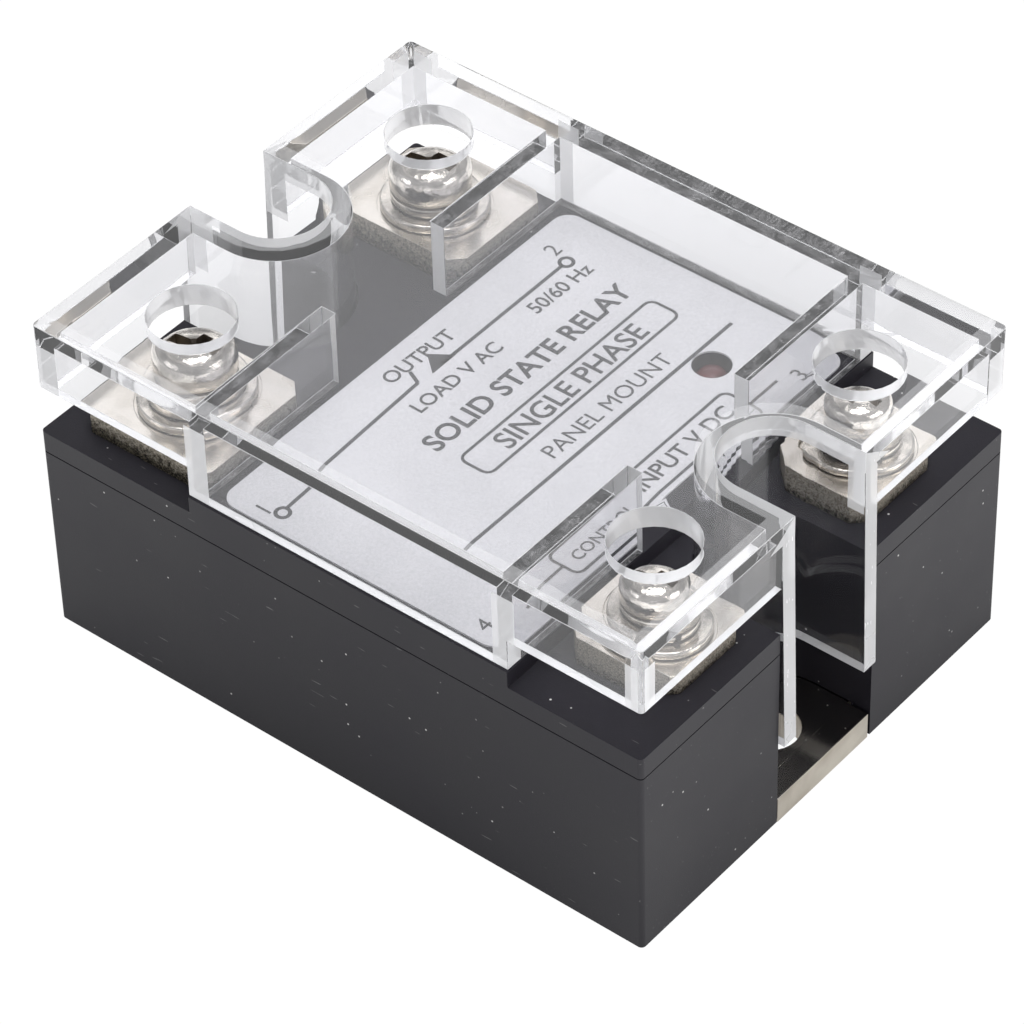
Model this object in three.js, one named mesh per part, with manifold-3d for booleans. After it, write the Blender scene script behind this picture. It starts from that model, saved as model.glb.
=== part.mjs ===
// Panel-mount solid state relay: a black moulded housing on a nickel-plated base plate,
// four screw terminals, an indicator LED and a clear lift-off cover.
// Millimetres, +Z up. +X runs from the load terminals (1, 2) to the control terminals (3, 4).
// The origin is the centre of the base plate's underside.

import * as THREE from 'three';
import { mergeVertices } from 'three/addons/utils/BufferGeometryUtils.js';
import Module from 'manifold-3d';

const wasm = await Module();
wasm.setup();

// ---------------------------------------------------------------- driving dimensions

const ROUND = 20;                   // sides on a small round
const FINE = 28;                    // sides on a larger round

const housing = {
  length: 58.0, width: 44.6, corner: 0.4,
  wall: 1.8, deckThickness: 2.0,
  bottom: 0.2, deck: 19.7, platform: 21.2,
  seam: [17.6, 17.8], seamDepth: 0.2,
  platformFrom: -13.8, platformTo: 16.8,
};

const mounting = {
  holeX: 23.8,                      // 47.6 mm between the two mounting holes
  holeRadius: 2.5,
  notchRadius: 5.9,                 // housing's U notch, round about the mounting hole
  notchWall: 1.5,
};

const plate = { thickness: 2.5, endX: 28.95, inset: 0.25 };

const cover = {
  length: 57.9, width: 44.24, corner: 0.4,
  top: 30.15, topThickness: 2.0, wall: 1.5,
  skirtBottom: 24.1,                // corner skirts stop above the wires
  wallBottom: 21.3,                 // centre walls and partitions stand on the platform
  partitionWall: 1.35, partitionInnerY: 6.4,
  linerInner: 4.25, linerOuter: 5.75, linerBottom: 8.3,
  linerSplay: 0.5,                  // how far the liners' legs lean out at the bottom
  driverHoleRadius: 3.5,
};
cover.under = cover.top - cover.topThickness;

// A terminal's washers, head and shank stack up from a shallow seat in the top of its pad.
const loadScrew = {
  shankRadius: 1.95, headRadius: 3.3, headHeight: 3.0, shankLength: 6.4, slotWidth: 1.1,
  flatRadius: 4.1, flatThickness: 0.8, springRadius: 3.25, springThickness: 1.05,
};
const controlScrew = {
  shankRadius: 1.45, headRadius: 2.6, headHeight: 2.5, shankLength: 6.0, slotWidth: 0.9,
  flatRadius: 3.5, flatThickness: 0.65, springRadius: 2.55, springThickness: 0.8,
};

const padThickness = 2.5;
const padTop = housing.deck + padThickness;
const seatDepth = 0.1;
const seat = padTop - seatDepth;
const loadPad = { x: [-26.8, -14.3], y: [9.1, 20.1], cut: 2.4 };
const controlPad = { x: [18.0, 27.0], y: [7.5, 16.3], cut: 1.6 };
const loadLead = { x: -15.0, thickness: 0.8, width: 5.0, footLength: 4.6, footZ: 3.2 };
const controlLead = { x: 18.35, thickness: 0.6, width: 4.0 };

const loadSide = { x: -20.2, y: 13.9, pad: loadPad, screw: loadScrew, lead: loadLead };
const controlSide = { x: 22.5, y: 12.35, pad: controlPad, screw: controlScrew, lead: controlLead };
const terminals = [
  { name: 'terminal_1', side: -1, ...loadSide },
  { name: 'terminal_2', side: 1, ...loadSide },
  { name: 'terminal_3', side: 1, ...controlSide },
  { name: 'terminal_4', side: -1, ...controlSide },
];

const label = { x: [-11.8, 15.0], halfWidth: 20.3, thickness: 0.15, corner: 1.5 };
const led = { x: 8.7, y: 12.5, radius: 1.5, holeRadius: 1.7, top: 20.9, flangeZ: 15.4 };

const board = { x: [-13.4, 19.0], halfWidth: 19.4, thickness: 1.6, bottom: 10.0, notchX: 15.6, notchY: 8.1 };
board.top = board.bottom + board.thickness;
const substrate = { x: [-13.0, 12.0], halfWidth: 14.0, thickness: 0.65 };
const chip = { size: 8.0, thickness: 0.4, x: 1.5, y: 6.2 };
const potting = { bottom: plate.thickness + 0.1, top: 9.4, clearance: 0.3 };

// ---------------------------------------------------------------- materials

const paint = (color, roughness, metalness = 0) => () =>
  new THREE.MeshStandardMaterial({ color, roughness, metalness });

const blackPlastic = paint(0x38373b, 0.62);
const nickel = paint(0xcfc6b8, 0.28, 1);
const plateNickel = paint(0xb9b1a6, 0.38, 1);
const tinned = paint(0xc4c2bd, 0.4, 1);
const labelFilm = paint(0xd9d9df, 0.45);
const boardGreen = paint(0x2f5d3a, 0.5);
const ceramicWhite = paint(0xe9e6dc, 0.55);
const siliconGrey = paint(0x5b5f68, 0.25, 0.4);
const pottingBlack = paint(0x1c1c1e, 0.5);
const packageBlack = paint(0x202022, 0.55);
const capacitorRed = paint(0x8e2f23, 0.4);
const resistorBeige = paint(0xc9b48a, 0.5);
const ledRed = paint(0x7a1420, 0.2);

function clearPlastic() {
  return new THREE.MeshStandardMaterial({
    color: 0xf2f3f6, roughness: 0.08, metalness: 0, transparent: true, opacity: 0.3,
  });
}

// ---------------------------------------------------------------- solids

// A closed three.js geometry as a manifold-3d solid, ready to join and cut.
function solid(geometry) {
  geometry.deleteAttribute('normal');
  geometry.deleteAttribute('uv');
  const merged = mergeVertices(geometry, 1e-5);
  return new wasm.Manifold(new wasm.Mesh({
    numProp: 3,
    vertProperties: new Float32Array(merged.attributes.position.array),
    triVerts: new Uint32Array(merged.index.array),
  }));
}

function geometryOf(manifold) {
  const mesh = manifold.getMesh();
  const geometry = new THREE.BufferGeometry();
  geometry.setAttribute('position', new THREE.BufferAttribute(new Float32Array(mesh.vertProperties), 3));
  geometry.setIndex(new THREE.BufferAttribute(new Uint32Array(mesh.triVerts), 1));
  geometry.computeVertexNormals();
  return geometry;
}

const union = (...solids) => solids.reduce((whole, piece) => whole.add(piece));
const cut = (body, ...tools) => tools.reduce((left, tool) => left.subtract(tool), body);

function block(x, y, z) {
  const geometry = new THREE.BoxGeometry(x[1] - x[0], y[1] - y[0], z[1] - z[0]);
  geometry.translate((x[0] + x[1]) / 2, (y[0] + y[1]) / 2, (z[0] + z[1]) / 2);
  return solid(geometry);
}

function post(x, y, radius, z, sides = ROUND) {
  const geometry = new THREE.CylinderGeometry(radius, radius, z[1] - z[0], sides);
  geometry.rotateX(Math.PI / 2);
  geometry.translate(x, y, (z[0] + z[1]) / 2);
  return solid(geometry);
}

function extrude(shape, z, curveSegments = 5) {
  const geometry = new THREE.ExtrudeGeometry(shape, {
    depth: z[1] - z[0], bevelEnabled: false, curveSegments,
  });
  geometry.translate(0, 0, z[0]);
  return solid(geometry);
}

// A closed profile of (radius, height) points turned about the Z axis.
function turned(points, x, y, sides = ROUND) {
  const profile = points.map(([radius, height]) => new THREE.Vector2(radius, height));
  const geometry = new THREE.LatheGeometry(profile, sides);
  geometry.rotateX(Math.PI / 2);
  geometry.translate(x, y, 0);
  return solid(geometry);
}

function roundedRectangle(x, y, radius) {
  const shape = new THREE.Shape();
  shape.moveTo(x[0] + radius, y[0]);
  shape.lineTo(x[1] - radius, y[0]);
  shape.absarc(x[1] - radius, y[0] + radius, radius, -Math.PI / 2, 0);
  shape.lineTo(x[1], y[1] - radius);
  shape.absarc(x[1] - radius, y[1] - radius, radius, 0, Math.PI / 2);
  shape.lineTo(x[0] + radius, y[1]);
  shape.absarc(x[0] + radius, y[1] - radius, radius, Math.PI / 2, Math.PI);
  shape.lineTo(x[0], y[0] + radius);
  shape.absarc(x[0] + radius, y[0] + radius, radius, Math.PI, 1.5 * Math.PI);
  return shape;
}

const centred = (size) => [-size / 2, size / 2];

// The U outline of a mounting notch: a half round about the mounting hole, open to the end.
function notch(end, radius, reach, z) {
  const shape = new THREE.Shape();
  shape.moveTo(reach, -radius);
  shape.lineTo(reach, radius);
  shape.lineTo(mounting.holeX, radius);
  shape.absarc(mounting.holeX, 0, radius, Math.PI / 2, 1.5 * Math.PI);
  shape.lineTo(reach, -radius);
  const piece = extrude(shape, z, 14);
  return end > 0 ? piece : piece.rotate([0, 0, 180]);
}

const ENDS = [1, -1];
const SIDES = [1, -1];

// ---------------------------------------------------------------- housing and base plate

function housingSolid() {
  const { length, width, corner, wall, deckThickness, bottom, deck, platform } = housing;
  const overlap = 1.0;

  const outline = roundedRectangle(centred(length), centred(width), corner);
  const platformX = [housing.platformFrom, housing.platformTo];
  let body = union(
    extrude(outline, [bottom, deck]),
    block(platformX, centred(width), [deck - overlap, platform]),
  );
  body = cut(body, seamGroove());

  // The inside is one open-bottomed cavity around the two notch walls.
  const innerX = centred(length - 2 * wall);
  const innerY = centred(width - 2 * wall);
  const ceiling = deck - deckThickness;
  const raisedCeiling = platform - deckThickness;
  const inner = roundedRectangle(innerX, innerY, corner);
  const innerPlatformX = [housing.platformFrom + wall, housing.platformTo - wall];
  let cavity = union(
    extrude(inner, [-1, ceiling]),
    block(innerPlatformX, innerY, [ceiling - overlap, raisedCeiling]),
  );
  for (const end of ENDS) {
    cavity = cut(cavity, notch(end, mounting.notchRadius + mounting.notchWall, length, [-2, platform]));
  }
  for (const terminal of terminals) {
    const bossRadius = terminal.screw.shankRadius + 2.0;
    const bossBottom = 13.0;
    cavity = cut(cavity, post(terminal.x, terminal.side * terminal.y, bossRadius, [bossBottom, ceiling + 1]));
  }
  body = cut(body, cavity);

  // The notch walls stop on top of the base plate, which lies in the open bottom.
  body = cut(body, extrude(inner, [-1, plate.thickness + 0.1]));
  for (const end of ENDS) {
    body = cut(body, notch(end, mounting.notchRadius, length, [-2, platform + 5]));
  }
  for (const terminal of terminals) {
    body = cut(body, shankRecess(terminal), leadSlot(terminal));
  }
  return cut(body, post(led.x, led.y, led.holeRadius, [15, 25]));
}

// The fine groove that runs round the outside of the housing below the decks.
function seamGroove() {
  const { length, width, corner, seam, seamDepth } = housing;
  const reach = 1.0;
  const core = roundedRectangle(centred(length - 2 * seamDepth), centred(width - 2 * seamDepth), corner);
  return cut(
    block(centred(length + 2 * reach), centred(width + 2 * reach), seam),
    extrude(core, [seam[0] - reach, seam[1] + reach]),
  );
}

function shankRecess(terminal) {
  const recessBottom = 15.0;
  const radius = terminal.screw.shankRadius + 0.4;
  return post(terminal.x, terminal.side * terminal.y, radius, [recessBottom, housing.deck + 1]);
}

function across(terminal, y) {
  const pair = y.map((value) => terminal.side * value);
  return pair.sort((a, b) => a - b);
}

function leadSpan(terminal, margin = 0) {
  const middle = (terminal.pad.y[0] + terminal.pad.y[1]) / 2;
  const half = terminal.lead.width / 2 + margin;
  return across(terminal, [middle - half, middle + half]);
}

function leadSlot(terminal) {
  const { x, thickness } = terminal.lead;
  const margin = 0.25;
  const reach = thickness / 2 + margin;
  return block([x - reach, x + reach], leadSpan(terminal, margin), [housing.deck - 4, housing.deck + 0.5]);
}

function basePlateSolid() {
  const { inset, thickness, endX } = plate;
  const halfLength = housing.length / 2 - housing.wall - inset;
  const halfWidth = housing.width / 2 - housing.wall - inset;
  const tongueHalf = mounting.notchRadius - 0.15;
  const outline = roundedRectangle([-halfLength, halfLength], [-halfWidth, halfWidth], housing.corner);
  const body = union(
    extrude(outline, [0, thickness]),
    block([-endX, endX], [-tongueHalf, tongueHalf], [0, thickness]),
  );

  // A round hole at the control end and the usual open slot at the load end.
  const through = [-1, thickness + 1];
  const { holeX, holeRadius } = mounting;
  const slot = union(
    post(-holeX, 0, holeRadius, through, FINE),
    block([-endX - 1, -holeX], [-holeRadius, holeRadius], through),
  );
  return cut(body, slot, post(holeX, 0, holeRadius, through, FINE));
}

// ---------------------------------------------------------------- cover

function coverSolid() {
  const { length, width, corner, top, under, wall, skirtBottom, wallBottom } = cover;
  const overlap = 0.5;
  const outline = roundedRectangle(centred(length), centred(width), corner);
  const insideX = centred(length - 2 * wall);
  const insideY = centred(width - 2 * wall);

  const topPlate = extrude(outline, [under, top]);
  const skirt = cut(
    extrude(outline, [skirtBottom, under + overlap]),
    block(insideX, insideY, [skirtBottom - 1, top + 1]),
  );
  let body = topPlate.add(skirt);

  const wallX = [housing.platformFrom - 0.05, housing.platformTo - 0.05];
  const partitions = [
    [wallX[0], wallX[0] + cover.partitionWall],
    [wallX[1] - cover.partitionWall, wallX[1]],
  ];
  const standing = [wallBottom, under + overlap];
  for (const side of SIDES) {
    const outer = side * width / 2;
    const inner = side * (width / 2 - wall);
    body = body.add(block(wallX, [Math.min(outer, inner), Math.max(outer, inner)], standing));
    for (const partitionX of partitions) {
      const span = [side * cover.partitionInnerY, inner + side * overlap].sort((a, b) => a - b);
      body = body.add(block(partitionX, span, standing));
    }
  }

  for (const end of ENDS) {
    body = body.add(linerSolid(end, under + overlap));
  }
  for (const end of ENDS) {
    body = cut(body, notch(end, cover.linerInner, length, [0, top + 1]));
  }
  for (const terminal of terminals) {
    const y = terminal.side * terminal.y;
    body = cut(body, post(terminal.x, y, cover.driverHoleRadius, [20, top + 1], FINE));
  }
  return body;
}

// A U liner with its end faces leaning out from the cover's outline towards the bottom.
function linerSolid(end, linerTop) {
  const { length, linerOuter, linerBottom, linerSplay, under } = cover;
  const rise = under - linerBottom;
  const away = Math.hypot(rise, linerSplay);
  const inward = [-end * rise / away, 0, -linerSplay / away];
  const offset = inward[0] * end * length / 2 + inward[2] * under;
  const reach = length / 2 + 2 * linerSplay;
  return notch(end, linerOuter, reach, [linerBottom, linerTop]).trimByPlane(inward, offset);
}

// ---------------------------------------------------------------- terminals

function padSolid(terminal) {
  const { x, y, cut: corner } = terminal.pad;
  const outerEnd = x[0] < 0 ? x[0] : x[1];
  const innerEnd = x[0] < 0 ? x[1] : x[0];
  const cutEnd = terminal.pad === loadPad ? outerEnd : innerEnd;
  const otherEnd = terminal.pad === loadPad ? innerEnd : outerEnd;
  const towards = Math.sign(otherEnd - cutEnd);
  const small = 1.1;

  const outline = [
    [cutEnd + towards * corner, y[0]],
    [otherEnd - towards * small, y[0]],
    [otherEnd, y[0] + small],
    [otherEnd, y[1] - small],
    [otherEnd - towards * small, y[1]],
    [cutEnd + towards * small, y[1]],
    [cutEnd, y[1] - small],
    [cutEnd, y[0] + corner],
  ].map(([px, py]) => new THREE.Vector2(px, terminal.side * py));
  const centreY = terminal.side * terminal.y;
  const { shankRadius, flatRadius } = terminal.screw;
  return cut(
    extrude(new THREE.Shape(outline), [housing.deck, padTop]),
    post(terminal.x, centreY, shankRadius + 0.15, [housing.deck - 1, padTop + 1]),
    post(terminal.x, centreY, flatRadius + 0.25, [seat, padTop + 1], FINE),
  );
}

// Load leads run down to the ceramic and end in a foot; control leads stop on the circuit board.
function leadSolid(terminal) {
  const { x, thickness, footLength, footZ } = terminal.lead;
  const near = x - thickness / 2;
  const far = x + thickness / 2;
  const span = leadSpan(terminal);
  if (terminal.lead === controlLead) {
    return block([near, far], span, [board.top, housing.deck]);
  }
  return union(
    block([near, far], span, [footZ, housing.deck]),
    block([near, near + footLength], span, [footZ, footZ + thickness]),
  );
}

function flatWasherSolid(terminal) {
  const { flatRadius, flatThickness, shankRadius } = terminal.screw;
  const y = terminal.side * terminal.y;
  const disc = post(terminal.x, y, flatRadius, [seat, seat + flatThickness], FINE);
  return cut(disc, post(terminal.x, y, shankRadius + 0.15, [seat - 1, seat + 2]));
}

// A spring washer, squashed flat under the head, with its split still open.
function springWasherSolid(terminal) {
  const { flatThickness, springRadius, springThickness, shankRadius } = terminal.screw;
  const y = terminal.side * terminal.y;
  const bottom = seat + flatThickness;
  const split = 0.5;
  const ring = cut(
    post(terminal.x, y, springRadius, [bottom, bottom + springThickness], FINE),
    post(terminal.x, y, shankRadius + 0.15, [bottom - 1, bottom + 2]),
  );
  const opening = block([0, springRadius + 1], [-split / 2, split / 2], [bottom - 1, bottom + 2]);
  return cut(ring, opening.rotate([0, 0, -35]).translate([terminal.x, y, 0]));
}

function screwSolid(terminal) {
  const { flatThickness, springThickness, shankRadius, headRadius, headHeight, shankLength } = terminal.screw;
  const y = terminal.side * terminal.y;
  const under = seat + flatThickness + springThickness;
  const tip = under - shankLength;
  const rim = under + 0.68 * headHeight;
  const crown = under + headHeight;
  const body = turned([
    [0, tip],
    [shankRadius - 0.3, tip],
    [shankRadius, tip + 0.3],
    [shankRadius, under],
    [headRadius, under],
    [headRadius, rim],
    [0.9 * headRadius, rim + 0.16 * headHeight],
    [0.62 * headRadius, crown - 0.06 * headHeight],
    [0.3 * headRadius, crown],
    [0, crown],
  ], terminal.x, y, FINE);

  const recess = [crown - 1.3, crown + 1];
  const half = terminal.screw.slotWidth / 2;
  const slotReach = 0.86 * headRadius;
  const crossReach = 0.62 * headRadius;
  return cut(
    body,
    block([terminal.x - slotReach, terminal.x + slotReach], [y - half, y + half], recess),
    block([terminal.x - half, terminal.x + half], [y - crossReach, y + crossReach], recess),
  );
}

// ---------------------------------------------------------------- label and internal parts

function labelSolid() {
  const shape = roundedRectangle(label.x, centred(2 * label.halfWidth), label.corner);
  const film = extrude(shape, [housing.platform, housing.platform + label.thickness]);
  return cut(film, post(led.x, led.y, led.holeRadius - 0.1, [20, 24]));
}

function ledSolid() {
  const dome = led.top - led.radius;
  const lens = turned([
    [0, led.flangeZ],
    [led.radius + 0.35, led.flangeZ],
    [led.radius + 0.35, led.flangeZ + 0.9],
    [led.radius, led.flangeZ + 0.9],
    [led.radius, dome],
    [0.87 * led.radius, dome + 0.5 * led.radius],
    [0.5 * led.radius, dome + 0.87 * led.radius],
    [0, led.top],
  ], led.x, led.y);
  const legs = SIDES.map((side) => {
    const x = led.x + side * 1.27;
    return block([x - 0.25, x + 0.25], [led.y - 0.25, led.y + 0.25], [board.top, led.flangeZ + 0.3]);
  });
  return union(lens, ...legs);
}

function boardSolid() {
  const shape = roundedRectangle(board.x, centred(2 * board.halfWidth), 0.8);
  const sheet = extrude(shape, [board.bottom, board.top], 3);
  return cut(sheet, block([board.notchX, board.x[1] + 1], [-board.notchY, board.notchY], [0, 20]));
}

function substrateSolid() {
  const bottom = plate.thickness;
  return block(substrate.x, centred(2 * substrate.halfWidth), [bottom, bottom + substrate.thickness]);
}

function thyristorSolid(side) {
  const half = chip.size / 2;
  const bottom = plate.thickness + substrate.thickness;
  const y = side * chip.y;
  return block([chip.x - half, chip.x + half], [y - half, y + half], [bottom, bottom + chip.thickness]);
}

// The potting fills the housing below the circuit board, moulded around what stands in it.
function pottingSolid() {
  const { bottom, top, clearance } = potting;
  const halfLength = housing.length / 2 - housing.wall - clearance;
  const halfWidth = housing.width / 2 - housing.wall - clearance;
  let body = extrude(
    roundedRectangle([-halfLength, halfLength], [-halfWidth, halfWidth], housing.corner),
    [bottom, top],
  );
  for (const end of ENDS) {
    const reach = mounting.notchRadius + mounting.notchWall + clearance;
    body = cut(body, notch(end, reach, housing.length, [0, top + 1]));
  }
  const pocketTop = plate.thickness + substrate.thickness + chip.thickness + 0.7;
  const pocketX = [substrate.x[0] - clearance, substrate.x[1] + clearance];
  body = cut(body, block(pocketX, centred(2 * (substrate.halfWidth + clearance)), [0, pocketTop]));
  for (const terminal of terminals.filter((each) => each.lead === loadLead)) {
    const { x, thickness, footLength } = terminal.lead;
    const reach = thickness / 2 + clearance;
    const span = leadSpan(terminal, clearance);
    body = cut(body, block([x - reach, x - reach + footLength + 2 * clearance], span, [0, pocketTop]));
    body = cut(body, block([x - reach, x + reach], span, [0, top + 1]));
  }
  return body;
}

// An axial part lying along X on the board, with both legs bent down to it.
function axialSolid({ x, y, radius, length, legSpan }) {
  const z = board.top + radius + 0.4;
  const legHalf = 0.3;
  const geometry = new THREE.CylinderGeometry(radius, radius, length, 12);
  geometry.rotateZ(Math.PI / 2);
  geometry.translate(x, y, z);
  const acrossLeg = [y - legHalf, y + legHalf];
  const wire = block([x - legSpan / 2, x + legSpan / 2], acrossLeg, [z - legHalf, z + legHalf]);
  const legs = SIDES.map((side) => {
    const legX = x + side * (legSpan / 2 - legHalf);
    return block([legX - legHalf, legX + legHalf], acrossLeg, [board.top, z]);
  });
  return union(solid(geometry), wire, ...legs);
}

// A boxed part standing on the board on short legs at the given places.
function packageSolid({ x, y, size, legs }) {
  const standoff = 0.5;
  const bottom = board.top + standoff;
  const body = block(
    [x - size[0] / 2, x + size[0] / 2],
    [y - size[1] / 2, y + size[1] / 2],
    [bottom, bottom + size[2]],
  );
  const feet = legs.map(([legX, legY]) =>
    block([x + legX - 0.3, x + legX + 0.3], [y + legY - 0.3, y + legY + 0.3], [board.top, bottom + 0.5]));
  return union(body, ...feet);
}

const sixLegs = [-2.54, 0, 2.54].flatMap((x) => [[x, -2.8], [x, 2.8]]);
const threeLegs = [-1.27, 0, 1.27].map((x) => [x, 0]);
const twoLegs = [[-5, 0], [5, 0]];

const packages = {
  optocoupler: { x: 1.0, y: 3.0, size: [8.6, 6.4, 3.6], legs: sixLegs, material: packageBlack },
  snubber_capacitor: { x: -5.5, y: -12.0, size: [12.5, 5.5, 6.0], legs: twoLegs, material: capacitorRed },
  input_transistor: { x: 13.0, y: -11.0, size: [4.6, 3.6, 4.8], legs: threeLegs, material: packageBlack },
};

const smallAxial = { radius: 0.95, length: 5.0, legSpan: 7.6, material: resistorBeige };
const axials = {
  snubber_resistor: { x: -5.5, y: 13.5, radius: 1.7, length: 9.0, legSpan: 13.0, material: resistorBeige },
  input_resistor: { x: 11.5, y: -16.5, radius: 1.2, length: 6.4, legSpan: 9.6, material: resistorBeige },
  gate_resistor_1: { ...smallAxial, x: -8.0, y: 6.0 },
  gate_resistor_2: { ...smallAxial, x: -8.0, y: -5.0 },
  led_resistor: { ...smallAxial, x: 10.0, y: 17.0 },
  protection_diode: { ...smallAxial, x: 10.5, y: 0.5, radius: 1.25, material: packageBlack },
};

// ---------------------------------------------------------------- assembly

const relay = new THREE.Group();
relay.name = 'solid_state_relay';

function add(name, material, shape) {
  const mesh = new THREE.Mesh(geometryOf(shape), material());
  mesh.name = name;
  relay.add(mesh);
}

add('housing', blackPlastic, housingSolid());
add('base_plate', plateNickel, basePlateSolid());
add('clear_cover', clearPlastic, coverSolid());
add('label', labelFilm, labelSolid());

for (const terminal of terminals) {
  add(`${terminal.name}_pad`, nickel, padSolid(terminal));
  add(`${terminal.name}_lead`, tinned, leadSolid(terminal));
  add(`${terminal.name}_flat_washer`, nickel, flatWasherSolid(terminal));
  add(`${terminal.name}_spring_washer`, nickel, springWasherSolid(terminal));
  add(`${terminal.name}_screw`, nickel, screwSolid(terminal));
}

add('ceramic_substrate', ceramicWhite, substrateSolid());
add('thyristor_1', siliconGrey, thyristorSolid(1));
add('thyristor_2', siliconGrey, thyristorSolid(-1));
add('potting', pottingBlack, pottingSolid());
add('circuit_board', boardGreen, boardSolid());
add('indicator_led', ledRed, ledSolid());
for (const [name, part] of Object.entries(packages)) {
  add(name, part.material, packageSolid(part));
}
for (const [name, part] of Object.entries(axials)) {
  add(name, part.material, axialSolid(part));
}

export default relay;
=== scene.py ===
"""Looks of a panel-mount solid state relay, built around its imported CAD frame.

Metres, +Z up out of the panel, +X from the load terminals to the control terminals. Each visible CAD
node is replaced by a piece with rounded edges and finer detail, or gets a better material.
"""

import math

import bmesh
import bpy
from mathutils import Matrix, Quaternion, Vector


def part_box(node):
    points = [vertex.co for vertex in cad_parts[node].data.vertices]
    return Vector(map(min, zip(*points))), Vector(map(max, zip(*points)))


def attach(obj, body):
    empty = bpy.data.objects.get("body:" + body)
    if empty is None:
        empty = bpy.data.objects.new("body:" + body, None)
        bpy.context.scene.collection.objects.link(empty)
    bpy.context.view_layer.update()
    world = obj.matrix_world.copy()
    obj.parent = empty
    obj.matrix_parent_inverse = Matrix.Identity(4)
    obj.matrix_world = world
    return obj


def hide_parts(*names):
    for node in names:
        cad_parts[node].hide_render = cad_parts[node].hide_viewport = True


MM = 0.001
TERMINALS = ("terminal_1", "terminal_2", "terminal_3", "terminal_4")
ALONG_X = Vector((1, 0, 0))
ALONG_Y = Vector((0, 1, 0))
ALONG_Z = Vector((0, 0, 1))

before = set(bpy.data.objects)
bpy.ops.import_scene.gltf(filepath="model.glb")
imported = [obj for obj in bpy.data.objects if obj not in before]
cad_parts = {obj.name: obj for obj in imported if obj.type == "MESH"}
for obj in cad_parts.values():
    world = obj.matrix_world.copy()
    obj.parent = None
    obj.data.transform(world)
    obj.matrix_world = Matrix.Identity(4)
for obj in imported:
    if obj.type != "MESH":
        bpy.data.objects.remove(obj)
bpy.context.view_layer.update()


# -------------------- camera, floor and light

def add_camera():
    """A long lens that looks down on the corner by terminal 4."""
    position = Vector((183.7, -218.8, 271.9)) * MM
    target = Vector((-2.23, 1.34, 9.1)) * MM
    roll = math.radians(-1.71)
    data = bpy.data.cameras.new("camera")
    data.lens = 176.4
    data.sensor_width = 36.0
    data.clip_start = 0.01
    data.clip_end = 20.0
    camera = bpy.data.objects.new("camera", data)
    camera.location = position
    camera.rotation_mode = "QUATERNION"
    aim = (target - position).to_track_quat("-Z", "Y")
    camera.rotation_quaternion = aim @ Quaternion((0, 0, 1), roll)
    bpy.context.scene.collection.objects.link(camera)
    bpy.context.scene.camera = camera


def add_soft_light(name, place, size, power, colour=(1, 1, 1)):
    """A rectangular light that faces the object."""
    data = bpy.data.lights.new(name, "AREA")
    data.shape = "RECTANGLE"
    data.size, data.size_y = size
    data.energy = power
    data.color = colour
    light = bpy.data.objects.new(name, data)
    light.location = place
    light.rotation_mode = "QUATERNION"
    light.rotation_quaternion = (-Vector(place)).to_track_quat("-Z", "Y")
    bpy.context.scene.collection.objects.link(light)


def add_stage():
    """A dim world, four soft lights and the floor."""
    scene = bpy.context.scene
    world = bpy.data.worlds.new("studio")
    world.use_nodes = True
    background = world.node_tree.nodes["Background"]
    background.inputs["Color"].default_value = (0.96, 0.97, 1.0, 1.0)
    background.inputs["Strength"].default_value = 0.4
    scene.world = world

    warm = (1.0, 0.99, 0.98)
    cool = (0.98, 0.99, 1.0)
    add_soft_light("back_wall_light", place=(-0.58, 0.68, 0.72), size=(1.3, 0.9), power=3.9)
    add_soft_light("top_light", place=(0.1, -0.05, 1.0), size=(0.6, 0.6), power=5.0)
    add_soft_light("right_light", place=(0.85, 0.15, 0.4), size=(0.5, 0.5), power=2.6, colour=warm)
    add_soft_light("left_light", place=(-0.45, -0.85, 0.45), size=(0.5, 0.4), power=1.6, colour=cool)

    floor = new_object("floor", floor_mesh())
    floor.data.materials.append(floor_paint())

    scene.view_settings.view_transform = "Standard"
    scene.cycles.use_denoising = True
    scene.cycles.max_bounces = 24
    scene.cycles.transmission_bounces = 20
    scene.cycles.transparent_max_bounces = 24


def floor_mesh():
    mesh = bpy.data.meshes.new("floor")
    half = 2.5
    corners = [(-half, -half, 0), (half, -half, 0), (half, half, 0), (-half, half, 0)]
    mesh.from_pydata(corners, [], [(0, 1, 2, 3)])
    return mesh


def floor_paint():
    """Pure white to the camera; to the object, a glowing white sweep with painted shade close to it and
    painted light towards +X.
    """
    paint = Surface("floor_paint", base=(0.25, 0.25, 0.25), roughness=0.9, specular=0.0)
    reach = paint.node("ShaderNodeVectorMath", {0: paint.place}, operation="LENGTH").outputs["Value"]
    # Painted shade: the glow is weaker close to the object; painted light: it grows stronger towards +X.
    near = paint.remap(reach, 0.024, 0.062, 0.3, 0.88)
    right = paint.remap(paint.along("X"), 0.02, 0.07, 0.0, 0.35)
    glow = paint.node("ShaderNodeEmission", {"Strength": paint.maths("ADD", near, right)})
    lit = paint.node("ShaderNodeAddShader", {0: paint.bsdf.outputs[0], 1: glow.outputs[0]})
    white = paint.node("ShaderNodeEmission", {"Strength": 1.02})
    paint.show("Is Camera Ray", white, otherwise=lit)
    return paint.material


# -------------------- node materials

def rgba(colour):
    return (*colour, 1.0)


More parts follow.
